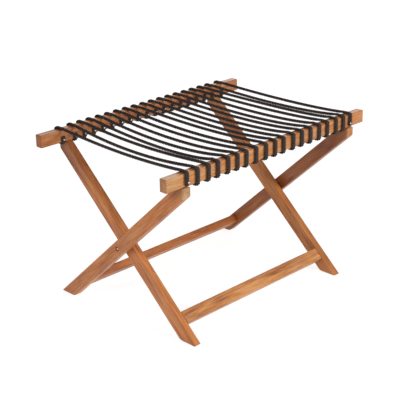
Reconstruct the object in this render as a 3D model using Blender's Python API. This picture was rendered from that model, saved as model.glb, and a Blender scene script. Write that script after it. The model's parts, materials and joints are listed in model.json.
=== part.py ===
"""Folding luggage rack: two crossing wooden frames under a seat of rope strands.

The outer frame carries the front rail and the inner frame the back rail. The frames turn
on one bolt at each side, where their legs cross. Nineteen strands of twisted rope go
from rail to rail, wrap once around each, and end under a tack.

Metres, +Z up, X along the rails, Y from the front rail to the back rail. The rack stands
open, and the origin is on the floor under its middle.
"""

import math
from dataclasses import dataclass

import bmesh
import bpy
from mathutils import Matrix, Vector

# ---- driving dimensions ----------------------------------------------------------------
RAIL_LENGTH = 0.704          # along X
RACK_DEPTH = 0.474           # over the outer faces of both rails
SEAT_HEIGHT = 0.446          # floor to the top of the rails
BAR_WIDE = 0.033             # rails and stretchers are 33 x 22 mm
BAR_THIN = 0.022             # and every bar is as thick as this
LEG_WIDE = 0.0345
EDGE_RADIUS = 0.0022         # rounded edges of the stock
FOOT_EDGE_SHARE = 0.35       # the feet's sawn edges are rounded less than the others
GAP = 0.0003                 # between pieces that touch

FOOT_HALF_SPREAD = 0.2105    # leg's middle line where it meets the floor
HEAD_OVERHANG = 0.0045       # leg's middle line outside the rail's outer face, at the head
HEAD_PROUD = 0.005           # head's upright cut outside the rail's outer face
HEAD_CORNER_RADIUS = 0.006   # rounded corner under the head's upright cut
FOOT_CORNER_RADIUS = 0.012   # rounded corner at the foot's heel
OUTER_LEG_FACE = 0.3045      # |X| of the outer legs' outer face
INNER_LEG_FACE = 0.2755      # |X| of the inner legs' outer face

STRETCHER_MIDDLE = 0.057     # up the leg from the floor
FRONT_STRETCHER_OFF = 0.0062  # stretcher's middle outside the leg's: flush outer faces
BACK_STRETCHER_OFF = 0.0015
TENON_LENGTH = 0.012
TENON_WIDE = 0.022
TENON_THIN = 0.010

DOWEL_RADIUS = 0.004
DOWEL_CHAMFER = 0.001
DOWEL_IN_RAIL = 0.020
DOWEL_IN_LEG = 0.020

BOLT_RADIUS = 0.0025
BOLT_HEAD_RADIUS = 0.0037
BOLT_HEAD_HEIGHT = 0.0022
BOLT_RECESS_RADIUS = 0.0055
BOLT_RECESS_DEPTH = 0.0025
SPACER_RADIUS = 0.008
INSERT_RADIUS = 0.0045       # threaded insert in the inner leg, which takes the bolt
INSERT_LENGTH = 0.014
BOLT_IN_INSERT = 0.012

ROPE_RADIUS = 0.004          # of the round rope between the rails
WRAP_HALF_WIDTH = 0.0062     # the rope lies flattened where it is pulled around a rail
WRAP_HALF_THICKNESS = 0.0030
STRAND_COUNT = 19
FRONT_PITCH = 0.0327         # between the strands on the front rail
FRONT_SHIFT = 0.004          # all but the outermost sit this far towards +X there
BACK_PITCH = 0.0308          # and on the back rail
FRONT_END_STRAND = 0.2925    # |X| of the outermost strands, over the outer legs' heads
BACK_END_STRAND = 0.2850     # and just outside the inner legs
# From the -X end to the +X end, in millimetres: how far each strand strays towards +X from
# its even place on the front rail, and how far it hangs.
FRONT_STRAY_MM = (1, 0, 2, 0, 1, -1, -3, -2, 0, 0, -2, 1, 1, 1, 2, 1, 3, 0, 1)
STRAND_SAG_MM = (9, 16, 10, 16, 17, 15, 12, 12, 8, 10, 10, 11, 10, 11, 10, 7, 7, 10, 7)
LOWEST_SHARE = 0.43          # where a strand hangs lowest, from the front rail to the back
ROPE_END_RISE = 0.017        # rope's end above the rail's underside, on the inner face
FRONT_END_RISE = 0.005       # the outermost strands end above the leg, on the front face

TACK_RISE = 0.0085           # tack above the rail's underside
FRONT_TACK_RISE = 0.012
FRONT_TACK_ASIDE = 0.0022    # a front tack is off its strand's middle, inwards
FRONT_TACK_STAND_OFF = 0.0049  # its head is pressed into the rope
TACK_SHANK_RADIUS = 0.0009
TACK_HEAD_RADIUS = 0.0024
TACK_HEAD_HEIGHT = 0.0011
TACK_IN_RAIL = 0.0055        # short of the dowels behind

# ---- resolution ------------------------------------------------------------------------
ROUND_SIDES = 16             # bolts, inserts, spacers
DOWEL_SIDES = 12
TACK_SIDES = 8
ROPE_SIDES = 8
ROPE_PARTS_OF_SPAN = 8
CUT_THROUGH = 0.002          # how far a cutter reaches past the face it opens

# ---- derived dimensions ----------------------------------------------------------------
RAIL_OUT = RACK_DEPTH / 2                 # |Y| of the rails' outer, inner and middle planes
RAIL_IN = RAIL_OUT - BAR_THIN
RAIL_MID = RAIL_OUT - BAR_THIN / 2
RAIL_UNDER = SEAT_HEIGHT - BAR_WIDE
LEG_RUN = FOOT_HALF_SPREAD + RAIL_OUT + HEAD_OVERHANG
LEAN = math.atan2(RAIL_UNDER, LEG_RUN)    # of the legs, from the floor
PIVOT = Vector((0, 0, FOOT_HALF_SPREAD * math.tan(LEAN)))
ROPE_OFF = WRAP_HALF_THICKNESS + GAP      # rope's middle off a face it lies on
STAND_OFF = 2 * ROPE_OFF                  # a tack's head over the rope
SAG_POWER = math.log(0.5) / math.log(LOWEST_SHARE)
LAST_STEP = (STRAND_COUNT - 1) // 2       # strands on each side of the middle one


@dataclass
class Frame:
    """One of the two frames. flip is 1 where the rail is in front (-Y), -1 where behind."""

    name: str
    flip: int
    leg_face: float
    rail: str
    stretcher: str
    stretcher_off: float


OUTER = Frame("outer", 1, OUTER_LEG_FACE, "front_rail", "back_stretcher", BACK_STRETCHER_OFF)
INNER = Frame("inner", -1, INNER_LEG_FACE, "back_rail", "front_stretcher",
              FRONT_STRETCHER_OFF)
SIDES = (("left", -1), ("right", 1))

# ---- materials: colour, roughness, metallic --------------------------------------------
RAIL_WOOD = ((0.56, 0.29, 0.13), 0.45, 0.0)
LEG_WOOD = ((0.42, 0.18, 0.08), 0.45, 0.0)
STRETCHER_WOOD = ((0.50, 0.25, 0.11), 0.45, 0.0)
DOWEL_WOOD = ((0.62, 0.45, 0.27), 0.60, 0.0)
ROPE = ((0.022, 0.020, 0.020), 0.85, 0.0)
COPPERED_STEEL = ((0.72, 0.42, 0.28), 0.30, 1.0)
BRASS = ((0.75, 0.55, 0.25), 0.35, 1.0)
BRIGHT_STEEL = ((0.62, 0.62, 0.63), 0.35, 1.0)
DARK_NYLON = ((0.05, 0.045, 0.04), 0.50, 0.0)


def material(name, finish):
    colour, roughness, metallic = finish
    mat = bpy.data.materials.new(name)
    mat.use_nodes = True
    shader = mat.node_tree.nodes["Principled BSDF"]
    shader.inputs["Base Color"].default_value = (*colour, 1.0)
    shader.inputs["Roughness"].default_value = roughness
    shader.inputs["Metallic"].default_value = metallic
    return mat


# ---- shapes ----------------------------------------------------------------------------
def add_object(name, mesh, finish=None):
    """Object with its own material, or a cutter that isn't rendered if it has no finish."""
    obj = bpy.data.objects.new(name, mesh)
    bpy.context.collection.objects.link(obj)
    if finish is None:
        obj.hide_render = True
        obj.display_type = "WIRE"
    else:
        mesh.materials.append(material(name + "_finish", finish))
    return obj


def to_mesh(name, bm):
    bmesh.ops.recalc_face_normals(bm, faces=bm.faces)
    mesh = bpy.data.meshes.new(name)
    bm.to_mesh(mesh)
    bm.free()
    return mesh


def box(name, size, middle, tilt=0.0, finish=None):
    """Box turned about X by tilt."""
    bm = bmesh.new()
    bmesh.ops.create_cube(bm, size=1.0)
    bmesh.ops.scale(bm, vec=size, verts=bm.verts)
    obj = add_object(name, to_mesh(name, bm), finish)
    obj.location = middle
    obj.rotation_euler.x = tilt
    return obj


def plank(name, outline, thickness, middle, finish):
    """Solid of an outline in Y and Z about the middle, as thick as given along X."""
    bm = bmesh.new()
    face = bm.faces.new([bm.verts.new((-thickness / 2, y, z)) for y, z in outline])
    extruded = bmesh.ops.extrude_face_region(bm, geom=[face])
    moved = [v for v in extruded["geom"] if isinstance(v, bmesh.types.BMVert)]
    bmesh.ops.translate(bm, vec=(thickness, 0, 0), verts=moved)
    obj = add_object(name, to_mesh(name, bm), finish)
    obj.location = middle
    return obj


def turned(name, profile, start, axis, sides, finish=None):
    """Solid of revolution. profile holds (distance along the axis, radius) from start."""
    bm = bmesh.new()
    rings = []
    for along, radius in profile:
        count = sides if radius > 0 else 1
        angles = [2 * math.pi * (i + 0.5) / count for i in range(count)]
        rings.append([bm.verts.new((radius * math.cos(a), radius * math.sin(a), along))
                      for a in angles])
    for low, high in zip(rings, rings[1:]):
        for i in range(sides):
            corners = (low[i % len(low)], low[(i + 1) % len(low)],
                       high[(i + 1) % len(high)], high[i % len(high)])
            bm.faces.new(list(dict.fromkeys(corners)))
    for ring in (rings[0], rings[-1]):
        if len(ring) > 1:
            bm.faces.new(ring)
    mesh = to_mesh(name, bm)
    mesh.shade_smooth()
    mesh.set_sharp_from_angle(angle=math.radians(35))
    obj = add_object(name, mesh, finish)
    obj.location = start
    obj.rotation_mode = "QUATERNION"
    obj.rotation_quaternion = Vector((0, 0, 1)).rotation_difference(Vector(axis))
    return obj


def round_bar(name, radius, length, start, axis, sides):
    """Plain round cutter."""
    return turned(name, [(0, radius), (length, radius)], start, axis, sides)


def dome(radius, height, steps=3):
    """Profile of a rounded head from its rim to its top."""
    angles = [math.pi / 2 * i / steps for i in range(steps)]
    rim_to_top = [(height * math.sin(a), radius * math.cos(a)) for a in angles]
    return rim_to_top + [(height, 0.0)]


def round_edges(obj, sawn_level=None):
    """Round the edges, but only a little those that lie at the sawn level, if there is one."""
    bm = bmesh.new()
    bm.from_mesh(obj.data)
    weights = bm.edges.layers.float.new("bevel_weight_edge")
    for edge in bm.edges:
        if edge.calc_face_angle() < math.radians(20):
            continue
        sawn = sawn_level is not None and all(abs(vert.co.z - sawn_level) < GAP
                                              for vert in edge.verts)
        edge[weights] = FOOT_EDGE_SHARE if sawn else 1.0
    bm.to_mesh(obj.data)
    bm.free()
    bevel = obj.modifiers.new("rounded_edges", "BEVEL")
    bevel.width = EDGE_RADIUS
    bevel.segments = 2
    bevel.limit_method = "WEIGHT"


def combine(obj, other, operation):
    boolean = obj.modifiers.new(f"{operation.lower()}_{other.name}", "BOOLEAN")
    boolean.operation = operation
    boolean.object = other


def fillet(corner, before, after, radius, steps=3):
    """Arc in place of an outline's corner, from the side of before to that of after."""
    corner, before, after = Vector(corner), Vector(before), Vector(after)
    to_before = (before - corner).normalized()
    to_after = (after - corner).normalized()
    half_angle = to_before.angle(to_after) / 2
    reach = radius / math.tan(half_angle)
    centre = corner + (to_before + to_after).normalized() * radius / math.sin(half_angle)
    start, end = corner + to_before * reach, corner + to_after * reach
    chord = [start.lerp(end, i / steps) for i in range(steps + 1)]
    return [centre + (point - centre).normalized() * radius for point in chord]


# ---- wooden frames ---------------------------------------------------------------------
def on_leg(along, off, flip):
    """Y and Z of a point: along the leg from the floor, off its middle line outwards."""
    y = FOOT_HALF_SPREAD - along * math.cos(LEAN) + off * math.sin(LEAN)
    z = along * math.sin(LEAN) + off * math.cos(LEAN)
    return y * flip, z


def leg_outline(flip):
    """Leg cut level at the floor, level under the rail and upright past the rail's face."""
    half = LEG_WIDE / 2 / math.sin(LEAN)
    slope = math.tan(LEAN)
    head_top = RAIL_UNDER - GAP
    floor_front = (FOOT_HALF_SPREAD - half, 0.0)
    floor_back = (FOOT_HALF_SPREAD + half, 0.0)
    upright = RAIL_OUT + HEAD_PROUD
    upright_foot = (-upright, (FOOT_HALF_SPREAD - half + upright) * slope)
    head_front = (-upright, head_top)
    head_back = (FOOT_HALF_SPREAD + half - head_top / slope, head_top)
    outline = [floor_back]
    outline += fillet(floor_front, floor_back, upright_foot, FOOT_CORNER_RADIUS)
    outline += fillet(upright_foot, floor_front, head_front, HEAD_CORNER_RADIUS)
    outline += [head_front, head_back]
    return [(y * flip, z - PIVOT.z) for y, z in outline]


def make_leg(frame, tag, side):
    """Leg with its blind socket for the rail's dowel and its mortise for the stretcher."""
    name = f"{frame.name}_leg_{tag}"
    x_mid = side * (frame.leg_face - BAR_THIN / 2)
    leg = plank(name, leg_outline(frame.flip), BAR_THIN, PIVOT + Vector((x_mid, 0, 0)),
                LEG_WOOD)
    round_edges(leg, sawn_level=-PIVOT.z)

    socket = round_bar(name + "_socket", DOWEL_RADIUS + GAP, DOWEL_IN_LEG + CUT_THROUGH,
                       (x_mid, -RAIL_MID * frame.flip, RAIL_UNDER - DOWEL_IN_LEG - GAP),
                       (0, 0, 1), DOWEL_SIDES)
    combine(leg, socket, "DIFFERENCE")

    depth = TENON_LENGTH + GAP
    mortise_x = side * (frame.leg_face - BAR_THIN + (depth - CUT_THROUGH) / 2)
    mortise = box(name + "_mortise",
                  (depth + CUT_THROUGH, TENON_WIDE + 2 * GAP, TENON_THIN + 2 * GAP),
                  (mortise_x, *on_leg(STRETCHER_MIDDLE, frame.stretcher_off, frame.flip)),
                  -frame.flip * LEAN)
    combine(leg, mortise, "DIFFERENCE")
    return leg


def make_stretcher(frame):
    """Bar between the two legs of a frame, with a stub tenon into each."""
    shoulder = frame.leg_face - BAR_THIN - GAP
    middle = (0, *on_leg(STRETCHER_MIDDLE, frame.stretcher_off, frame.flip))
    tilt = -frame.flip * LEAN
    bar = box(frame.stretcher, (2 * shoulder, BAR_WIDE, BAR_THIN), middle, tilt,
              STRETCHER_WOOD)
    round_edges(bar)
    tenons = box(frame.stretcher + "_tenons",
                 (2 * (shoulder + TENON_LENGTH), TENON_WIDE, TENON_THIN), middle, tilt)
    combine(bar, tenons, "UNION")
    return bar


def make_rail(frame):
    y_mid = -RAIL_MID * frame.flip
    rail = box(frame.rail, (RAIL_LENGTH, BAR_THIN, BAR_WIDE),
               (0, y_mid, SEAT_HEIGHT - BAR_WIDE / 2), finish=RAIL_WOOD)
    round_edges(rail)
    for tag, side in SIDES:
        socket = round_bar(f"{frame.rail}_socket_{tag}", DOWEL_RADIUS + GAP,
                           DOWEL_IN_RAIL + GAP + CUT_THROUGH,
                           (side * (frame.leg_face - BAR_THIN / 2), y_mid,
                            RAIL_UNDER - CUT_THROUGH), (0, 0, 1), DOWEL_SIDES)
        combine(rail, socket, "DIFFERENCE")
    return rail


def make_dowel(frame, tag, side):
    """Dowel, hidden half in the leg's head and half in the rail."""
    length = DOWEL_IN_LEG + DOWEL_IN_RAIL
    profile = [(0, DOWEL_RADIUS - DOWEL_CHAMFER), (DOWEL_CHAMFER, DOWEL_RADIUS),
               (length - DOWEL_CHAMFER, DOWEL_RADIUS), (length, DOWEL_RADIUS - DOWEL_CHAMFER)]
    start = (side * (frame.leg_face - BAR_THIN / 2), -RAIL_MID * frame.flip,
             RAIL_UNDER - DOWEL_IN_LEG)
    return turned(f"{frame.rail}_dowel_{tag}", profile, start, (0, 0, 1), DOWEL_SIDES,
                  DOWEL_WOOD)


# ---- pivots ----------------------------------------------------------------------------
def make_pivot(tag, side, outer_leg, inner_leg):
    """Bolt through the outer leg and a spacer into a threaded insert in the inner leg."""
    inwards = (-side, 0, 0)
    outer_face = PIVOT + Vector((side * OUTER_LEG_FACE, 0, 0))
    spacer_face = PIVOT + Vector((side * (OUTER_LEG_FACE - BAR_THIN), 0, 0))
    insert_face = PIVOT + Vector((side * INNER_LEG_FACE, 0, 0))
    before_outer = outer_face + Vector((side * CUT_THROUGH, 0, 0))
    room = OUTER_LEG_FACE - BAR_THIN - INNER_LEG_FACE
    bore_radius = BOLT_RADIUS + GAP

    recess = round_bar(f"bolt_recess_{tag}", BOLT_RECESS_RADIUS,
                       BOLT_RECESS_DEPTH + CUT_THROUGH, before_outer, inwards, ROUND_SIDES)
    bore = round_bar(f"bolt_bore_{tag}", bore_radius, BAR_THIN + 2 * CUT_THROUGH,
                     before_outer, inwards, ROUND_SIDES)
    combine(outer_leg, recess, "DIFFERENCE")
    combine(outer_leg, bore, "DIFFERENCE")
    socket = round_bar(f"insert_socket_{tag}", INSERT_RADIUS + GAP,
                       INSERT_LENGTH + 2 * GAP + CUT_THROUGH,
                       insert_face + Vector((side * CUT_THROUGH, 0, 0)), inwards,
                       ROUND_SIDES)
    combine(inner_leg, socket, "DIFFERENCE")

    seat = BOLT_RECESS_DEPTH - GAP
    head = [(seat - rise, radius) for rise, radius in
            reversed(dome(BOLT_HEAD_RADIUS, BOLT_HEAD_HEIGHT))]
    tip = OUTER_LEG_FACE - INNER_LEG_FACE + BOLT_IN_INSERT
    bolt = turned(f"pivot_bolt_{tag}", head + [(seat, BOLT_RADIUS), (tip, BOLT_RADIUS)],
                  outer_face, inwards, ROUND_SIDES, COPPERED_STEEL)

    spacer = turned(f"spacer_{tag}", [(GAP, SPACER_RADIUS), (room - GAP, SPACER_RADIUS)],
                    spacer_face, inwards, ROUND_SIDES, DARK_NYLON)
    insert = turned(f"insert_{tag}", [(GAP, INSERT_RADIUS), (INSERT_LENGTH, INSERT_RADIUS)],
                    insert_face, inwards, ROUND_SIDES, BRASS)
    combine(spacer, bore_of(bore_radius, room, f"spacer_bore_{tag}", spacer_face, side),
            "DIFFERENCE")
    combine(insert, bore_of(bore_radius, BOLT_IN_INSERT + GAP, f"insert_bore_{tag}",
                            insert_face, side), "DIFFERENCE")
    return [bolt, spacer, insert]


def bore_of(radius, depth, name, face, side):
    start = face + Vector((side * CUT_THROUGH, 0, 0))
    return round_bar(name, radius, depth + 2 * CUT_THROUGH, start, (-side, 0, 0),
                     ROUND_SIDES)


# ---- rope strands ----------------------------------------------------------------------
def strand_x(index):
    """X of a strand on the front rail and on the back rail."""
    step = index - LAST_STEP
    stray = FRONT_STRAY_MM[index] / 1000
    if is_end_strand(index):
        side = math.copysign(1, step)
        return side * FRONT_END_STRAND + stray, side * BACK_END_STRAND
    return step * FRONT_PITCH + FRONT_SHIFT + stray, step * BACK_PITCH


def is_end_strand(index):
    return abs(index - LAST_STEP) == LAST_STEP


def corner_arc(y, z, from_angle, steps=2):
    """Quarter turn of the rope's middle line around a rounded edge centred on y, z."""
    radius = EDGE_RADIUS + ROPE_OFF
    angles = [math.radians(from_angle + 90 * i / steps) for i in range(steps + 1)]
    return [(y + radius * math.cos(a), z + radius * math.sin(a)) for a in angles]


def wrap_points(ends_on_outer_face):
    """Rope's middle line on the front rail, in Y and Z, from the span to its end.

    It runs over the top and down the outer face. It ends there, or goes on under the
    rail and up its inner face.
    """
    outer, inner = EDGE_RADIUS - RAIL_OUT, -RAIL_IN - EDGE_RADIUS
    top, under = SEAT_HEIGHT - EDGE_RADIUS, RAIL_UNDER + EDGE_RADIUS
    points = [(inner, SEAT_HEIGHT + ROPE_OFF)] + corner_arc(outer, top, 90)
    if ends_on_outer_face:
        return points + [(-RAIL_OUT - ROPE_OFF, RAIL_UNDER + FRONT_END_RISE)]
    points += corner_arc(outer, under, 180) + corner_arc(inner, under, 270)
    return points + [(ROPE_OFF - RAIL_IN, RAIL_UNDER + ROPE_END_RISE)]


def strand_rings(index):
    """Middle points of a strand from its front end to its back end, each with its section.

    The section is half the width along X and half the thickness across it.
    """
    x_front, x_back = strand_x(index)
    flat = (WRAP_HALF_WIDTH, WRAP_HALF_THICKNESS)
    front = [Vector((x_front, y, z)) for y, z in reversed(wrap_points(is_end_strand(index)))]
    back = [Vector((x_back, -y, z)) for y, z in wrap_points(False)]
    sag = STRAND_SAG_MM[index] / 1000
    span = []
    for i in range(1, ROPE_PARTS_OF_SPAN):
        share = (1 - math.cos(math.pi * i / ROPE_PARTS_OF_SPAN)) / 2
        point = front[-1].lerp(back[0], share)
        point.z -= sag * 4 * share ** SAG_POWER * (1 - share ** SAG_POWER)
        span.append((point, (ROPE_RADIUS, ROPE_RADIUS)))
    return [(p, flat) for p in front] + span + [(p, flat) for p in back]


def make_strand(index):
    """Rope along the strand's route, flattened on the rails and round between them."""
    name = f"strand_{index + 1:02d}"
    rings = strand_rings(index)
    points = [point for point, section in rings]
    angles = [2 * math.pi * i / ROPE_SIDES for i in range(ROPE_SIDES)]
    bm = bmesh.new()
    loops = []
    for i, (point, (half_width, half_thickness)) in enumerate(rings):
        along = (points[min(i + 1, len(points) - 1)] - points[max(i - 1, 0)]).normalized()
        across = Vector((0, along.z, -along.y)).normalized()
        sideways = along.cross(across)
        loops.append([bm.verts.new(point + sideways * half_width * math.cos(a)
                                   + across * half_thickness * math.sin(a))
                      for a in angles])
    for low, high in zip(loops, loops[1:]):
        for i in range(ROPE_SIDES):
            j = (i + 1) % ROPE_SIDES
            bm.faces.new((low[i], low[j], high[j], high[i]))
    bm.faces.new(loops[0])
    bm.faces.new(loops[-1])
    mesh = to_mesh(name, bm)
    mesh.shade_smooth()
    mesh.set_sharp_from_angle(angle=math.radians(50))
    return add_object(name, mesh, ROPE)


# ---- tacks -----------------------------------------------------------------------------
def make_tack(name, face_point, outwards, stand_off, pierced):
    """Tack in a rail's face, through every pierced piece, with its head off the wood."""
    start = Vector(face_point) - Vector(outwards) * TACK_IN_RAIL
    neck = TACK_IN_RAIL + stand_off
    bore = round_bar(name + "_bore", TACK_SHANK_RADIUS + GAP, neck + GAP,
                     start - Vector(outwards) * GAP, outwards, TACK_SIDES)
    for piece in pierced:
        combine(piece, bore, "DIFFERENCE")
    head = [(neck + rise, radius) for rise, radius in
            dome(TACK_HEAD_RADIUS, TACK_HEAD_HEIGHT, steps=2)]
    profile = [(0, TACK_SHANK_RADIUS), (neck, TACK_SHANK_RADIUS)] + head
    return turned(name, profile, start, outwards, TACK_SIDES, BRIGHT_STEEL)


def fasten_back(index, strand, rail):
    """Tack through the strand's end on the back rail's inner face."""
    point = (strand_x(index)[1], RAIL_IN, RAIL_UNDER + TACK_RISE)
    return make_tack(f"tack_{index + 1:02d}", point, (0, -1, 0), STAND_OFF, (rail, strand))


def fasten_front(index, strand, rail):
    """Tack in an outermost strand's end on the front rail's outer face, its head sunk in."""
    name = f"front_tack_{index + 1:02d}"
    x = strand_x(index)[0]
    point = Vector((x - math.copysign(FRONT_TACK_ASIDE, x), -RAIL_OUT,
                    RAIL_UNDER + FRONT_TACK_RISE))
    outwards = Vector((0, -1, 0))
    seat = round_bar(name + "_seat", TACK_HEAD_RADIUS + GAP, 2 * WRAP_HALF_THICKNESS,
                     point + outwards * (FRONT_TACK_STAND_OFF - GAP), outwards, TACK_SIDES)
    combine(strand, seat, "DIFFERENCE")
    return make_tack(name, point, outwards, FRONT_TACK_STAND_OFF, (rail, strand))


# ---- assembly --------------------------------------------------------------------------
def hinge_empty():
    """Empty on the fold's axis, which carries everything that turns with the inner frame."""
    empty = bpy.data.objects.new("inner_frame_axis", None)
    bpy.context.collection.objects.link(empty)
    empty.location = PIVOT
    return empty


def main():
    for obj in list(bpy.data.objects):
        bpy.data.objects.remove(obj)

    front_rail, back_rail = make_rail(OUTER), make_rail(INNER)
    make_stretcher(OUTER)
    turning = [back_rail, make_stretcher(INNER)]
    for tag, side in SIDES:
        outer_leg, inner_leg = make_leg(OUTER, tag, side), make_leg(INNER, tag, side)
        make_dowel(OUTER, tag, side)
        turning += [inner_leg, make_dowel(INNER, tag, side)]
        turning += make_pivot(tag, side, outer_leg, inner_leg)
    for index in range(STRAND_COUNT):
        strand = make_strand(index)
        turning.append(fasten_back(index, strand, back_rail))
        if is_end_strand(index):
            fasten_front(index, strand, front_rail)

    empty = hinge_empty()
    for piece in turning:
        piece.parent = empty
        piece.matrix_parent_inverse = Matrix.Translation(-PIVOT)


main()
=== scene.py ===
"""Looks of the folding luggage rack: oiled hardwood bars under strands of twisted rope.

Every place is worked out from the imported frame: metres, +Z up, X along the rails, Y from
the front rail to the back rail.
"""

import json
import math
import random
from dataclasses import dataclass

import bmesh
import bpy
import numpy as np
from mathutils import Matrix, Vector


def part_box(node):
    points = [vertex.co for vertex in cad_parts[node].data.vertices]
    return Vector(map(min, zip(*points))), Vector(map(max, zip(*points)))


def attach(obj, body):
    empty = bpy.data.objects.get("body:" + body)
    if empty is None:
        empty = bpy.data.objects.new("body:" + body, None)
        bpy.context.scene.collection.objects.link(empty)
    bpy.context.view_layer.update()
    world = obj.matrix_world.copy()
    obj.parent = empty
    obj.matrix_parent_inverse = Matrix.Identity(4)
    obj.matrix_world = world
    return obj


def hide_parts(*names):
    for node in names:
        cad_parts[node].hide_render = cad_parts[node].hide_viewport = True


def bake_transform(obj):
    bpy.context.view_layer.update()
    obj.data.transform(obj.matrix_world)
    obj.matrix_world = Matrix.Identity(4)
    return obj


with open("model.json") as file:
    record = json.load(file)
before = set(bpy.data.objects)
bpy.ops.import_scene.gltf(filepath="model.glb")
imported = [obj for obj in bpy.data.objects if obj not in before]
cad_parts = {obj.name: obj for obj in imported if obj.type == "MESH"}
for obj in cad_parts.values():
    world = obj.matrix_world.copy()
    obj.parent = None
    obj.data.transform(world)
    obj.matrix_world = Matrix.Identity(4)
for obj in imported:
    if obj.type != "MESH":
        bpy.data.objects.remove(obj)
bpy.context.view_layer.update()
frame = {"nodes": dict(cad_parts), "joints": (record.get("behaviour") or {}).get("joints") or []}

NODES = frame["nodes"]
OUTER, INNER = "outer_frame", "inner_frame"
SIDES = ("left", "right")


def nodes_named(start):
    return sorted(node for node in NODES if node.startswith(start))


STRANDS = nodes_named("strand_")

FRONT_LOW, FRONT_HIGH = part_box("front_rail")
BACK_LOW, BACK_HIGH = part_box("back_rail")
SEAT = FRONT_HIGH.z
RAIL_UNDER = FRONT_LOW.z
RAIL_THICK = FRONT_HIGH.y - FRONT_LOW.y      # every bar is as thick as this
RAIL_HIGH = FRONT_HIGH.z - FRONT_LOW.z       # and the stretchers are as wide as this
RAIL_HALF_LENGTH = (FRONT_HIGH.x - FRONT_LOW.x) / 2
LEG_WIDE = 0.0345
LEG_LEAN = 42.418            # degrees from the floor
PIVOT_HEIGHT = frame["joints"][0]["pos_m"][2]

# ---- camera ----------------------------------------------------------------------------
CAMERA_PLACE = (-1.8138, -1.8396, 1.2701)
CAMERA_YAW = 45.688          # degrees from +X towards +Y
CAMERA_PITCH = -21.894
CAMERA_ROLL = -1.083
CAMERA_LENS = 95.82          # millimetres
CAMERA_SENSOR = 36


def make_camera():
    yaw, pitch = math.radians(CAMERA_YAW), math.radians(CAMERA_PITCH)
    forward = Vector((math.cos(pitch) * math.cos(yaw), math.cos(pitch) * math.sin(yaw),
                      math.sin(pitch)))
    right = forward.cross(Vector((0, 0, 1))).normalized()
    up = right.cross(forward)
    turn = Matrix((right, up, -forward)).transposed().to_4x4()
    turn = turn @ Matrix.Rotation(math.radians(CAMERA_ROLL), 4, "Z")
    data = bpy.data.cameras.new("camera")
    data.lens = CAMERA_LENS
    data.sensor_width = CAMERA_SENSOR
    camera = bpy.data.objects.new("camera", data)
    camera.matrix_world = Matrix.Translation(CAMERA_PLACE) @ turn
    bpy.context.collection.objects.link(camera)
    bpy.context.scene.camera = camera


# ---- light and floor -------------------------------------------------------------------
WORLD_STRENGTH = 0.35
FLOOR_SIZE = 30.0
FLOOR_COLOUR = (0.35, 0.35, 0.35)
FLOOR_ROUGHNESS = 0.9
FLOOR_GLOW = 0.78            # keeps the floor plain white, with faint shadows
# Soft boxes: place, size in metres, power in watts.
LIGHTS = {"front_right": ((1.25, -3.5, 2.0), 1.6, 115.0),
          "left": ((-3.2, -1.1, 2.7), 1.2, 60.0),
          "back": ((3.2, 3.2, 2.2), 2.6, 72.0)}


def area_light(name, place, size, power):
    data = bpy.data.lights.new(name, "AREA")
    data.size = size
    data.energy = power
    light = bpy.data.objects.new(name, data)
    light.location = place
    light.rotation_mode = "QUATERNION"
    from_rack = Vector(place) - Vector((0, 0, SEAT / 2))
    light.rotation_quaternion = from_rack.to_track_quat("Z", "Y")
    bpy.context.collection.objects.link(light)


def make_world():
    world = bpy.data.worlds.new("studio")
    world.use_nodes = True
    background = world.node_tree.nodes["Background"]
    background.inputs["Color"].default_value = (1, 1, 1, 1)
    background.inputs["Strength"].default_value = WORLD_STRENGTH
    bpy.context.scene.world = world
    bpy.context.scene.view_settings.view_transform = "Standard"


def make_floor():
    mesh = bpy.data.meshes.new("floor")
    half = FLOOR_SIZE / 2
    mesh.from_pydata([(-half, -half, 0), (half, -half, 0), (half, half, 0), (-half, half, 0)],
                     [], [(0, 1, 2, 3)])
    floor = bpy.data.objects.new("floor", mesh)
    bpy.context.collection.objects.link(floor)
    mat = bpy.data.materials.new("floor")
    mat.use_nodes = True
    shader = mat.node_tree.nodes["Principled BSDF"]
    shader.inputs["Base Color"].default_value = (*FLOOR_COLOUR, 1)
    shader.inputs["Roughness"].default_value = FLOOR_ROUGHNESS
    shader.inputs["Specular IOR Level"].default_value = 0.0
    shader.inputs["Emission Color"].default_value = (1, 1, 1, 1)
    shader.inputs["Emission Strength"].default_value = FLOOR_GLOW
    mesh.materials.append(mat)


def make_studio():
    make_world()
    make_floor()
    for name, (place, size, power) in LIGHTS.items():
        area_light(name, place, size, power)


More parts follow.
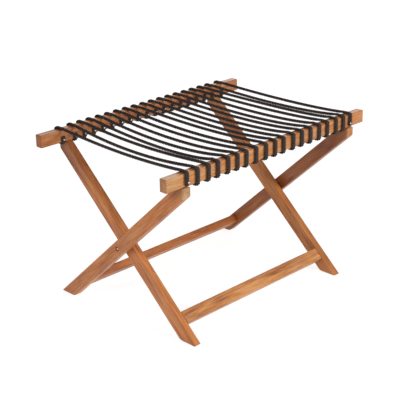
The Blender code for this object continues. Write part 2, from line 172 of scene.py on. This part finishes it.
# ---- node helpers ----------------------------------------------------------------------
class Nodes:
    """Short calls for a material's node tree."""

    def __init__(self, name):
        self.material = bpy.data.materials.new(name)
        self.material.use_nodes = True
        self.tree = self.material.node_tree
        self.shader = self.tree.nodes["Principled BSDF"]

    def add(self, kind, settings=None, **inputs):
        node = self.tree.nodes.new(kind)
        for key, value in (settings or {}).items():
            setattr(node, key, value)
        for key, value in inputs.items():
            self.put(node.inputs[key.replace("_", " ")], value)
        return node

    def put(self, socket, value):
        if isinstance(value, bpy.types.NodeSocket):
            self.tree.links.new(value, socket)
        else:
            socket.default_value = value

    def math(self, operation, first, second=0.0, third=0.0):
        node = self.add("ShaderNodeMath", {"operation": operation})
        for socket, value in zip(node.inputs, (first, second, third)):
            self.put(socket, value)
        return node.outputs[0]

    def noise(self, vector, scale, detail=3.0, roughness=0.55):
        return self.add("ShaderNodeTexNoise", Vector=vector, Scale=scale, Detail=detail,
                        Roughness=roughness).outputs["Fac"]

    def swing(self, noise, amount, middle):
        """The middle, moved up or down by the noise, which is 0 to 1, times the amount."""
        return self.math("MULTIPLY_ADD", self.math("SUBTRACT", noise, 0.5), amount, middle)

    def mapping(self, vector, location=(0, 0, 0), rotation=(0, 0, 0), scale=(1, 1, 1)):
        return self.add("ShaderNodeMapping", Vector=vector, Location=location,
                        Rotation=rotation, Scale=scale).outputs["Vector"]

    def ramp(self, factor, stops):
        node = self.add("ShaderNodeValToRGB", Fac=factor)
        elements = node.color_ramp.elements
        while len(elements) < len(stops):
            elements.new(0.5)
        for element, (place, colour) in zip(elements, stops):
            element.position = place
            element.color = (*colour, 1)
        return node.outputs["Color"]

    def span(self, value, low, high, to_low=0.0, to_high=1.0):
        """The value mapped from low..high to to_low..to_high, clamped and eased."""
        node = self.add("ShaderNodeMapRange", {"interpolation_type": "SMOOTHSTEP"},
                        Value=value, From_Min=low, From_Max=high, To_Min=to_low,
                        To_Max=to_high)
        return node.outputs["Result"]

    def mix(self, factor, first, second, blend="MIX"):
        node = self.add("ShaderNodeMix", {"data_type": "RGBA", "blend_type": blend})
        self.put(node.inputs[0], factor)
        self.put(node.inputs[6], first)
        self.put(node.inputs[7], second)
        return node.outputs[2]

    def length(self, parts):
        squares = [self.math("MULTIPLY", part, part) for part in parts]
        return self.math("SQRT", self.math("ADD", *squares))

    def bump(self, height, distance, strength):
        """Roughens the surface, by the distance where the height is 1."""
        node = self.add("ShaderNodeBump", Height=height, Distance=distance, Strength=strength)
        self.put(self.shader.inputs["Normal"], node.outputs["Normal"])


# ---- wood ------------------------------------------------------------------------------
# Oiled hardwood: the darkest grain lines, the body and the palest streaks.
WOOD_DARK = (0.170, 0.046, 0.010)
WOOD_BROWN = (0.335, 0.110, 0.024)
WOOD_ORANGE = (0.450, 0.170, 0.038)
WOOD_PALE = (0.550, 0.255, 0.080)
WOOD_BLOOM = (0.400, 0.195, 0.085)   # greyer patches
WOOD_TONES = [(0.10, WOOD_DARK), (0.36, WOOD_BROWN), (0.58, WOOD_ORANGE), (0.88, WOOD_PALE)]
# How much each layer of the grain moves the tone, or covers the colour under it.
FIGURE_AMOUNT, FIGURE_BASE = 0.9, 0.05
STREAK_AMOUNT = 1.0
THREAD_AMOUNT = 0.35
RING_AMOUNT = 0.16
BLOOM_AMOUNT = 0.5
PORE_AMOUNT = 0.45
# how far the painted shade in the outer legs' bolt recesses covers the wood
BOLT_HOLE_SHADE_AMOUNT = 0.7
WOOD_ROUGHNESS = (0.50, 0.38)    # of the dark streaks and of the pale ones
WOOD_SPECULAR = 0.35
WOOD_RELIEF = 0.00018
GRAIN_STRETCH = 16.0         # a streak's length over its width
THREAD_STRETCH = 48.0        # the same of the finest lines
FIGURE_STRETCH = 1 / 0.22    # and of the broad patches
RING_SPACING = 0.0042        # growth rings
RING_WAVER = 0.012
HEART_ASIDE = 0.02           # where the heart of the bar's tree is, off the bar's middle
HEART_AWAY = (0.05, 0.09)
GRAIN_LEAN = 0.012           # the most that the grain leans off the bar, in radians
GRAIN_SHIFT = 3.0            # the most that each bar's pattern is moved, in metres
# Noise scales, in features per metre.
WAVER_SCALE = 30
FIGURE_SCALE = 42
BLOOM_SCALE = 55
PORE_GROUP_SCALE = 240
STREAK_SCALE = 260
PORE_SCALE = 900
THREAD_SCALE = 1100
EDGE_WEAR = 0.0026           # width of the darker oiled edges
# Some bars change tone towards an end: along which axis, between which places, by how much. On
# the legs these are painted light and shade: painted shade under the front rail on the near outer
# leg's outer face, painted light on the upright faces of both outer legs' heads, and the painted
# shadow of the rope seat on the near inner leg's upper part. The front rail only grows darker and
# redder towards +X and paler towards -X.
HEAD_FACE = (FRONT_LOW.y + 0.0014, FRONT_LOW.y + 0.0003)   # all that is past the front rail
# near outer leg: painted shade under the front rail on its outer face, near the head
END_TONES_AND_PAINTED_LIGHT = {"outer_leg_left": (("Z", (0.375, 0.410), (0.72, 0.70, 0.72)),
                                # painted light: the head's upright face made paler, as it faces
                                # the light
                                ("Y", HEAD_FACE, (1.05, 1.74, 3.10))),
             # painted light: the head's upright face made paler, as it faces the light
             "outer_leg_right": (("Y", HEAD_FACE, (1.30, 1.56, 1.60)),),
             # painted shadow of the rope seat on the leg's upper part
             "inner_leg_left": (("Z", (0.270, 0.400), (0.60, 0.55, 0.55)),),
             # darker and redder towards +X, paler towards -X
             "front_rail": (("X", (0.24, 0.33), (0.87, 0.79, 0.68)),
                            ("X", (-0.27, -0.33), (0.88, 1.00, 1.22)))}
# Painted shade in the outer legs' bolt recesses: the wood within this radius is darkened almost
# to black.
BOLT_HOLE_RADIUS = 0.0056
BOLT_HOLE_RIM = 0.0005
BOLT_HOLE_SHADE_COLOUR = (0.020, 0.007, 0.003)


@dataclass
class Bar:
    """A wooden bar, which lies along the axes once its tilt about X is taken off."""

    node: str
    tilt: float
    grain: str               # the axis that the grain runs along
    half: tuple              # half its size along the two other axes
    tint: tuple              # the whole bar's colour is multiplied by this

    @property
    def middle(self):
        low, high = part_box(self.node)
        middle = (low + high) / 2
        if "_leg_" in self.node:
            middle.y, middle.z = 0.0, PIVOT_HEIGHT
        return middle


def growth_rings(n, long, first, second, chance):
    """Rings of a tree whose heart lies outside the bar."""
    heart = (chance.uniform(-HEART_ASIDE, HEART_ASIDE),
             chance.choice((-1, 1)) * chance.uniform(*HEART_AWAY))
    waver = n.math("MULTIPLY_ADD", n.noise(long, WAVER_SCALE, 2), RING_WAVER, -RING_WAVER / 2)
    across = [n.math("SUBTRACT", part, off) for part, off in zip((first, second), heart)]
    distance = n.math("ADD", n.length(across), waver)
    return n.span(n.math("FRACT", n.math("DIVIDE", distance, RING_SPACING)), 0.35, 1.0)


def open_pores(n, long, longer):
    """Short dashes along the grain, in groups."""
    pores = n.span(n.noise(longer, PORE_SCALE, 2, 0.5), 0.60, 0.72)
    groups = n.span(n.noise(long, PORE_GROUP_SCALE, 2), 0.42, 0.6)
    return n.math("MULTIPLY", pores, groups)


def oiled_edges(n, bar, straight, streaks, colour):
    """The oil lies darker on the rounded edges, and on the rails' sawn ends."""
    parts = n.add("ShaderNodeSeparateXYZ", Vector=straight).outputs
    near = [n.span(n.math("ABSOLUTE", part), size - EDGE_WEAR, size - EDGE_WEAR / 6)
            for part, size in zip((parts["Y"], parts["Z"]), bar.half)]
    edge = n.math("MULTIPLY", n.math("MULTIPLY", *near), n.span(streaks, 0.3, 0.6, 0.10, 0.30))
    colour = n.mix(edge, colour, (*WOOD_DARK, 1))
    if not bar.node.endswith("rail"):
        return colour
    end = n.span(n.math("ABSOLUTE", parts["X"]), RAIL_HALF_LENGTH - EDGE_WEAR, RAIL_HALF_LENGTH)
    grit = n.span(n.noise(straight, PORE_SCALE, 3, 0.6), 0.35, 0.6, 0.1, 0.5)
    return n.mix(n.math("MULTIPLY", end, grit), colour, (*WOOD_DARK, 1))


def board_tone_and_painted_light(n, bar, place, from_bolt, colour):
    """The bar's tint, its changes towards an end, which on the legs are painted light and shade,
    and painted shade in the bolt holes.
    """
    colour = n.mix(1.0, colour, (*bar.tint, 1), "MULTIPLY")
    # painted light and shade on the legs, a plain change of tone on the front rail
    for axis, reach, tone_there in END_TONES_AND_PAINTED_LIGHT.get(bar.node, ()):
        level = n.add("ShaderNodeSeparateXYZ", Vector=place).outputs[axis]
        colour = n.mix(n.span(level, *reach), colour, (*tone_there, 1), "MULTIPLY")
    # painted shade in the bolt's recess
    if bar.node.startswith("outer_leg"):
        hole_shade = n.span(from_bolt, BOLT_HOLE_RADIUS + BOLT_HOLE_RIM, BOLT_HOLE_RADIUS, 0.0,
                      BOLT_HOLE_SHADE_AMOUNT)
        colour = n.mix(hole_shade, colour, (*BOLT_HOLE_SHADE_COLOUR, 1))
    return colour


def wood_material(bar, seed):
    chance = random.Random(seed)
    n = Nodes(bar.node + "_wood")
    place = n.add("ShaderNodeTexCoord").outputs["Object"]
    local = n.mapping(n.mapping(place, [-v for v in bar.middle]), rotation=(-bar.tilt, 0, 0))
    parts = n.add("ShaderNodeSeparateXYZ", Vector=local).outputs
    along = parts[bar.grain]
    first, second = (parts[axis] for axis in "XYZ" if axis != bar.grain)
    straight = n.add("ShaderNodeCombineXYZ", X=along, Y=first, Z=second).outputs["Vector"]
    offset = tuple(chance.uniform(-GRAIN_SHIFT, GRAIN_SHIFT) for _ in range(3))
    lean = (0, *(chance.uniform(-GRAIN_LEAN, GRAIN_LEAN) for _ in range(2)))
    long = n.mapping(straight, offset, lean, (1 / GRAIN_STRETCH, 1, 1))
    longer = n.mapping(straight, offset, lean, (1 / THREAD_STRETCH, 1, 1))
    patchy = n.mapping(straight, offset, scale=(1 / FIGURE_STRETCH, 1, 1))

    streaks = n.noise(long, STREAK_SCALE, 4, 0.6)
    figure = n.noise(patchy, FIGURE_SCALE, 3, 0.5)
    tone = n.math("MULTIPLY_ADD", figure, FIGURE_AMOUNT, FIGURE_BASE)
    tone = n.swing(streaks, STREAK_AMOUNT, tone)
    tone = n.swing(n.noise(longer, THREAD_SCALE, 2, 0.5), THREAD_AMOUNT, tone)
    rings = growth_rings(n, long, first, second, chance)
    colour = n.ramp(n.math("MULTIPLY_ADD", rings, -RING_AMOUNT, tone), WOOD_TONES)
    elsewhere = n.mapping(patchy, (5, 2, 1))
    bloom = n.span(n.noise(elsewhere, BLOOM_SCALE), 0.50, 0.68, 0.0, BLOOM_AMOUNT)
    colour = n.mix(bloom, colour, (*WOOD_BLOOM, 1))
    pores = open_pores(n, long, longer)
    colour = n.mix(n.math("MULTIPLY", pores, PORE_AMOUNT), colour, (*WOOD_DARK, 1))
    colour = oiled_edges(n, bar, straight, streaks, colour)
    from_bolt = n.length((parts["Y"], parts["Z"]))
    colour = board_tone_and_painted_light(n, bar, place, from_bolt, colour)

    n.put(n.shader.inputs["Base Color"], colour)
    n.put(n.shader.inputs["Roughness"], n.span(streaks, 0.3, 0.7, *WOOD_ROUGHNESS))
    n.shader.inputs["Specular IOR Level"].default_value = WOOD_SPECULAR
    n.bump(n.math("SUBTRACT", n.math("MULTIPLY", streaks, 0.5), pores), WOOD_RELIEF, 0.6)
    return n.material


def give(obj, mat):
    """Puts one material on every slot of an object."""
    if not obj.material_slots:
        obj.data.materials.append(mat)
    for slot in obj.material_slots:
        slot.material = mat


def finish_wood():
    tilt = math.radians(LEG_LEAN)
    rail = (RAIL_THICK / 2, RAIL_HIGH / 2)
    stretcher = (RAIL_HIGH / 2, RAIL_THICK / 2)
    leg = (RAIL_THICK / 2, LEG_WIDE / 2)
    bars = [Bar("front_rail", 0.0, "X", rail, (1.11, 1.24, 1.60)),
            Bar("back_rail", 0.0, "X", rail, (0.85, 0.80, 0.87)),
            Bar("front_stretcher", tilt, "X", stretcher, (1.18, 1.34, 1.78)),
            Bar("back_stretcher", -tilt, "X", stretcher, (0.88, 0.74, 0.76)),
            Bar("outer_leg_left", -tilt, "Y", leg, (1.10, 1.00, 0.97)),
            Bar("outer_leg_right", -tilt, "Y", leg, (0.67, 0.56, 0.62)),
            Bar("inner_leg_left", tilt, "Y", leg, (1.09, 1.01, 1.12)),
            Bar("inner_leg_right", tilt, "Y", leg, (0.94, 0.87, 0.86))]
    upright = math.pi / 2
    no_edges = (1.0, 1.0)    # a dowel is round: none of it is this far out
    for side in SIDES:
        for rail_name in ("front_rail", "back_rail"):
            bars.append(Bar(f"{rail_name}_dowel_{side}", upright, "Y", no_edges,
                            (1.6, 1.8, 2.0)))
    for seed, bar in enumerate(bars):
        give(NODES[bar.node], wood_material(bar, seed))


# ---- rope ------------------------------------------------------------------------------
ROPE_RADIUS = 0.0043         # of the round rope between the rails
# The rope lies flattened where it is pulled around a rail: half its width and thickness.
FRONT_WRAP = (0.0068, 0.0033)
BACK_WRAP = (0.0064, 0.0028)
SWELL_LENGTH = 0.017         # in which it grows round again, off the rail
ROPE_GAP = 0.0003            # between rope and wood
EDGE_RADIUS = 0.0022         # of the rails
END_RISE = 0.017             # rope's end above the rail's underside, on the inner face
FRONT_END_RISE = 0.005       # and on the outer face, over the outer legs
YARNS = 3
YARN_RADIUS = 0.55           # of the rope's own radius
LAY_LENGTH = 0.0165          # in which the yarns make one turn
FIBRES = 30                  # around the rope
SIDE_DRIFT = 0.0012          # the most that a strand strays sideways between the rails
CUT_END = (0.0022, 0.18)     # over which length its cut ends draw in, and by what share
CUT_CROWN = 0.0005           # how far the middle of a cut end stands out
# The rope's darkest fibres, its body and the threads that catch the light.
ROPE_TONES = [(0.40, (0.0105, 0.0047, 0.0036)), (0.62, (0.0225, 0.0138, 0.0117)),
              (0.86, (0.075, 0.056, 0.049))]
ROPE_PATCH_SCALE = 260
ROPE_SPECK_SCALE = 1400
ROPE_ROUGHNESS = 0.62
ROPE_SPECULAR = 0.22
ROPE_RELIEF = 0.00022
RING_STEP = 0.0013           # of the mesh along the rope
POINTS_PER_YARN = 6
SPAN_POINTS = 48
# How far along from the front rail each strand hangs lowest, from the -X end to the +X end.
LOWEST = (0.46, 0.49, 0.50, 0.42, 0.46, 0.46, 0.48, 0.45, 0.44, 0.41, 0.43, 0.42, 0.42,
          0.42, 0.40, 0.42, 0.38, 0.42, 0.42)
FRONT_OFF = FRONT_WRAP[1] + ROPE_GAP
BACK_OFF = BACK_WRAP[1] + ROPE_GAP


def corner_arc(y, z, from_angle, off, steps=8):
    radius = EDGE_RADIUS + off
    angles = [math.radians(from_angle + 90 * i / steps) for i in range(steps + 1)]
    return [(y + radius * math.cos(a), z + radius * math.sin(a)) for a in angles]


def wrap_points(off, ends_on_outer_face=False):
    """Rope's middle line on the front rail, in Y and Z, from the span to its end."""
    outer, inner = FRONT_LOW.y + EDGE_RADIUS, FRONT_HIGH.y - EDGE_RADIUS
    top, under = SEAT - EDGE_RADIUS, RAIL_UNDER + EDGE_RADIUS
    points = [(inner, SEAT + off)] + corner_arc(outer, top, 90, off)
    if ends_on_outer_face:
        return points + [(FRONT_LOW.y - off, RAIL_UNDER + FRONT_END_RISE)]
    points += corner_arc(outer, under, 180, off) + corner_arc(inner, under, 270, off)
    return points + [(FRONT_HIGH.y + off, RAIL_UNDER + END_RISE)]


def strand_facts(node):
    """X on each rail and height of the lowest point, measured on the strand's plain solid."""
    points = np.array([v.co for v in NODES[node].data.vertices])
    front, back = points[points[:, 1] < FRONT_LOW.y], points[points[:, 1] > BACK_HIGH.y]
    x_front = (front[:, 0].min() + front[:, 0].max()) / 2
    x_back = (back[:, 0].min() + back[:, 0].max()) / 2
    span = points[abs(points[:, 1]) < BACK_LOW.y / 2]
    return x_front, x_back, span[:, 2].min() + ROPE_RADIUS


def strand_route(node, index, chance):
    """Middle line of a strand, from its end on the front rail to that on the back rail."""
    x_front, x_back, lowest = strand_facts(node)
    is_end = index in (0, len(STRANDS) - 1)
    front = [Vector((x_front, y, z)) for y, z in reversed(wrap_points(FRONT_OFF, is_end))]
    back = [Vector((x_back, -y, z)) for y, z in wrap_points(BACK_OFF)]
    hang = SEAT + (FRONT_OFF + BACK_OFF) / 2 - lowest
    power = math.log(0.5) / math.log(LOWEST[index])
    drift = chance.uniform(-SIDE_DRIFT, SIDE_DRIFT)
    span = []
    for i in range(1, SPAN_POINTS):
        share = i / SPAN_POINTS
        eased = share ** power
        point = front[-1].lerp(back[0], share)
        point.z -= hang * 4 * eased * (1 - eased)
        point.x += drift * math.sin(math.pi * share) ** 2
        span.append(point)
    return front + span + back


def resample(points, step):
    """Evenly spaced points on a route, and the distance of each from its start."""
    points = np.array(points)
    lengths = np.concatenate([[0], np.cumsum(np.linalg.norm(np.diff(points, axis=0), axis=1))])
    count = int(round(lengths[-1] / step)) + 1
    at = np.linspace(0, lengths[-1], count)
    even = np.stack([np.interp(at, lengths, points[:, k]) for k in range(3)], axis=1)
    return even, at


def yarn_outline():
    """Distance of the rope's surface from its middle line, around one turn."""
    count = YARNS * POINTS_PER_YARN
    angles = 2 * np.pi * np.arange(count) / count
    sector = 2 * np.pi / YARNS
    within = (angles + sector / 2) % sector - sector / 2
    off = 1 - YARN_RADIUS
    reach = off * np.cos(within) + np.sqrt(YARN_RADIUS ** 2 - (off * np.sin(within)) ** 2)
    return angles, reach


def rope_section(centres):
    """Half width and half thickness at each point: flat on the rails, round between them."""
    off_rail = np.minimum(centres[:, 1] - FRONT_HIGH.y, BACK_LOW.y - centres[:, 1])
    low_enough = centres[:, 2] < SEAT - EDGE_RADIUS
    inside = np.where(low_enough & (abs(off_rail) < 2 * ROPE_RADIUS), 0, off_rail)
    swell = np.clip(inside / SWELL_LENGTH, 0, 1)
    swell = swell * swell * (3 - 2 * swell)
    wrap = np.where(centres[:, 1:2] < 0, [FRONT_WRAP], [BACK_WRAP])
    half_width = wrap[:, 0] + (ROPE_RADIUS - wrap[:, 0]) * swell
    half_thickness = wrap[:, 1] + (ROPE_RADIUS - wrap[:, 1]) * swell
    return half_width, half_thickness


def rope_rings(centres, at, phase):
    """Outlines of the rope all along it, which turn as the yarns do, and its directions."""
    tangents = np.gradient(centres, axis=0)
    tangents /= np.linalg.norm(tangents, axis=1)[:, None]
    side = np.array([1.0, 0, 0]) - tangents[:, :1] * tangents
    side /= np.linalg.norm(side, axis=1)[:, None]
    up = np.cross(side, tangents)
    angles, reach = yarn_outline()
    half_width, half_thickness = rope_section(centres)
    cut_length, cut_share = CUT_END
    from_end = np.minimum(at, at[-1] - at)
    pull = 1 - cut_share * np.clip(1 - from_end / cut_length, 0, 1) ** 2
    turn = phase + 2 * np.pi * at / LAY_LENGTH
    a = angles[None, :] + turn[:, None]
    r = reach[None, :] * pull[:, None]
    across = r * np.cos(a) * half_width[:, None]
    through = r * np.sin(a) * half_thickness[:, None]
    rings = (centres[:, None, :] + across[..., None] * side[:, None, :]
             + through[..., None] * up[:, None, :])
    return rings, tangents


def rope_mesh(name, route, phase):
    """Closed skin over the rings. Its UV map holds the way around and the metres along."""
    centres, at = resample(route, RING_STEP)
    rings, tangents = rope_rings(centres, at, phase)
    count, around = rings.shape[:2]
    verts = rings.reshape(-1, 3).tolist()
    verts += [(centres[0] - CUT_CROWN * tangents[0]).tolist(),
              (centres[-1] + CUT_CROWN * tangents[-1]).tolist()]
    faces, uvs = [], []
    for i in range(count - 1):
        for j in range(around):
            k = (j + 1) % around
            faces.append((i * around + j, (i + 1) * around + j, (i + 1) * around + k,
                          i * around + k))
            u, v = j / around, (j + 1) / around
            uvs += [(u, at[i]), (u, at[i + 1]), (v, at[i + 1]), (v, at[i])]
    first, last = count * around, count * around + 1
    for j in range(around):
        k = (j + 1) % around
        faces.append((first, j, k))
        faces.append((last, (count - 1) * around + k, (count - 1) * around + j))
        uvs += [(0.5, 0), (j / around, 0), ((j + 1) / around, 0)]
        uvs += [(0.5, at[-1]), ((j + 1) / around, at[-1]), (j / around, at[-1])]
    mesh = bpy.data.meshes.new(name)
    mesh.from_pydata(verts, [], faces)
    layer = mesh.uv_layers.new(name="rope")
    layer.data.foreach_set("uv", np.array(uvs, np.float32).ravel())
    mesh.shade_smooth()
    return mesh


def rope_material():
    """Dark cord: fine fibres along each yarn, some catching the light."""
    n = Nodes("rope")
    uv = n.add("ShaderNodeUVMap", {"uv_map": "rope"}).outputs["UV"]
    parts = n.add("ShaderNodeSeparateXYZ", Vector=uv)
    around, along = parts.outputs["X"], parts.outputs["Y"]
    # fibres run along the rope while the yarns wind round it
    fibre_turn = n.math("ADD", n.math("MULTIPLY", around, FIBRES),
                        n.math("MULTIPLY", along, FIBRES / LAY_LENGTH))
    fibres = n.math("SINE", n.math("MULTIPLY", fibre_turn, 2 * math.pi))
    fibres = n.math("MULTIPLY_ADD", fibres, 0.5, 0.5)
    place = n.add("ShaderNodeTexCoord").outputs["Object"]
    patch = n.noise(place, ROPE_PATCH_SCALE, 3, 0.6)
    speck = n.noise(place, ROPE_SPECK_SCALE, 2, 0.6)
    shade = n.math("ADD", n.math("MULTIPLY", patch, 0.6), n.math("MULTIPLY", speck, 0.5))
    shade = n.math("ADD", shade, n.math("MULTIPLY", fibres, 0.12))
    n.put(n.shader.inputs["Base Color"], n.ramp(shade, ROPE_TONES))
    n.shader.inputs["Roughness"].default_value = ROPE_ROUGHNESS
    n.shader.inputs["Specular IOR Level"].default_value = ROPE_SPECULAR
    height = n.math("ADD", n.math("MULTIPLY", fibres, 0.6), n.math("MULTIPLY", speck, 0.7))
    n.bump(height, ROPE_RELIEF, 0.7)
    return n.material


def make_ropes():
    mat = rope_material()
    for index, node in enumerate(STRANDS):
        chance = random.Random(100 + index)
        route = strand_route(node, index, chance)
        mesh = rope_mesh(f"rope_{index + 1:02d}", route, chance.uniform(0, 2 * math.pi))
        mesh.materials.append(mat)
        rope = bpy.data.objects.new(mesh.name, mesh)
        bpy.context.collection.objects.link(rope)
        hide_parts(node)
        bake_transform(rope)


# ---- metal -----------------------------------------------------------------------------
TARNISH_SCALE = 900
METAL_GRAIN_SCALE = 2600
METAL_RELIEF = 0.00003
SHARP_ANGLE = 40             # degrees between two faces that meet at a sharp edge


def metal_material(name, colour, roughness, tarnish):
    """Metal whose dull patches are darker by the tarnish, and rougher."""
    n = Nodes(name)
    place = n.add("ShaderNodeTexCoord").outputs["Object"]
    cloud = n.noise(place, TARNISH_SCALE, 3, 0.6)
    dull = tuple(tarnish * c for c in colour)
    n.put(n.shader.inputs["Base Color"], n.ramp(cloud, [(0.35, dull), (0.6, colour)]))
    n.put(n.shader.inputs["Roughness"],
          n.span(cloud, 0.3, 0.7, roughness + 0.12, roughness - 0.06))
    n.shader.inputs["Metallic"].default_value = 1.0
    n.bump(n.noise(place, METAL_GRAIN_SCALE, 2), METAL_RELIEF, 0.5)
    return n.material


def turned_mesh(name, profile, sides):
    """Mesh turned about Z: profile holds (height, radius); a radius of 0 closes it."""
    bm = bmesh.new()
    rings = []
    for height, radius in profile:
        count = sides if radius > 0 else 1
        angles = [2 * math.pi * i / count for i in range(count)]
        rings.append([bm.verts.new((radius * math.cos(a), radius * math.sin(a), height))
                      for a in angles])
    for low, high in zip(rings, rings[1:]):
        for i in range(sides):
            corners = (low[i % len(low)], low[(i + 1) % len(low)],
                       high[(i + 1) % len(high)], high[i % len(high)])
            bm.faces.new(list(dict.fromkeys(corners)))
    bmesh.ops.recalc_face_normals(bm, faces=bm.faces)
    mesh = bpy.data.meshes.new(name)
    bm.to_mesh(mesh)
    bm.free()
    mesh.shade_smooth()
    mesh.set_sharp_from_angle(angle=math.radians(SHARP_ANGLE))
    return mesh


def stand_on(obj, point, outwards):
    """Sets a piece with its origin at the point and its Z along outwards."""
    obj.location = point
    obj.rotation_mode = "QUATERNION"
    obj.rotation_quaternion = Vector(outwards).to_track_quat("Z", "Y")
    bpy.context.collection.objects.link(obj)


TACK_HEAD_RADIUS = 0.0024
TACK_DOME_RADIUS = TACK_HEAD_RADIUS * 0.97
TACK_UNDER_RADIUS = TACK_HEAD_RADIUS * 0.94
TACK_HEAD_HEIGHT = 0.0011
TACK_RIM = 0.00035
TACK_SHANK_RADIUS = 0.0009
TACK_IN_WOOD = 0.002
TACK_SIDES = 20
TACK_DOME_STEPS = 5
TACK_RISE = 0.0085               # above the rail's underside
OUTER_TACK_STAND_OFF = 0.0066    # beside the rope's middle, where it is a little thinner


def tack_mesh(stand_off):
    """Tack with a flat rim and a low domed head, its shank sunk in the wood."""
    dome_foot = stand_off + TACK_RIM
    profile = [(-TACK_IN_WOOD, 0.0), (-TACK_IN_WOOD, TACK_SHANK_RADIUS),
               (stand_off, TACK_SHANK_RADIUS), (stand_off, TACK_UNDER_RADIUS),
               (stand_off + TACK_RIM * 0.4, TACK_HEAD_RADIUS), (dome_foot, TACK_DOME_RADIUS)]
    for i in range(1, TACK_DOME_STEPS):
        a = math.pi / 2 * i / TACK_DOME_STEPS
        profile.append((dome_foot + (TACK_HEAD_HEIGHT - TACK_RIM) * math.sin(a),
                        TACK_DOME_RADIUS * math.cos(a)))
    profile.append((stand_off + TACK_HEAD_HEIGHT, 0.0))
    return turned_mesh("tack", profile, TACK_SIDES)


def place_tack(name, mesh, point, outwards, body, node=None):
    tack = bpy.data.objects.new(name, mesh)
    stand_on(tack, point, outwards)
    if node is not None:
        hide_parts(node)
    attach(tack, body)


def make_tacks():
    steel = metal_material("tack_steel", (0.66, 0.65, 0.64), 0.28, 0.7)
    back_mesh, front_mesh = tack_mesh(2 * BACK_OFF), tack_mesh(2 * FRONT_OFF)
    outer_mesh = tack_mesh(OUTER_TACK_STAND_OFF)
    for mesh in (back_mesh, front_mesh, outer_mesh):
        mesh.materials.append(steel)
    for node in nodes_named("tack_"):
        low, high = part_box(node)
        point = ((low.x + high.x) / 2, BACK_LOW.y, (low.z + high.z) / 2)
        place_tack("back_" + node, back_mesh, point, (0, -1, 0), INNER, node)
    # the same tacks on the front rail's inner face, where the strands go all the way round
    for node in STRANDS[1:-1]:
        point = (strand_facts(node)[0], FRONT_HIGH.y, RAIL_UNDER + TACK_RISE)
        place_tack("inner_tack_" + node[-2:], front_mesh, point, (0, 1, 0), OUTER)
    for node in nodes_named("front_tack_"):
        low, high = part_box(node)
        point = ((low.x + high.x) / 2, FRONT_LOW.y, (low.z + high.z) / 2)
        place_tack("outer_" + node, outer_mesh, point, (0, -1, 0), OUTER, node)


def nylon_material():
    n = Nodes("spacer_nylon")
    place = n.add("ShaderNodeTexCoord").outputs["Object"]
    n.put(n.shader.inputs["Base Color"],
          n.ramp(n.noise(place, 400), [(0.4, (0.03, 0.027, 0.025)), (0.6, (0.05, 0.046, 0.042))]))
    n.shader.inputs["Roughness"].default_value = 0.5
    return n.material


def finish_hardware():
    copper = metal_material("bolt_copper", (0.90, 0.50, 0.34), 0.28, 0.75)
    brass = metal_material("insert_brass", (0.75, 0.55, 0.25), 0.35, 0.8)
    nylon = nylon_material()
    for side in SIDES:
        give(NODES[f"pivot_bolt_{side}"], copper)
        give(NODES[f"insert_{side}"], brass)
        give(NODES[f"spacer_{side}"], nylon)


# ---- the scene -------------------------------------------------------------------------
make_camera()
make_studio()
finish_wood()
finish_hardware()
make_ropes()
make_tacks()
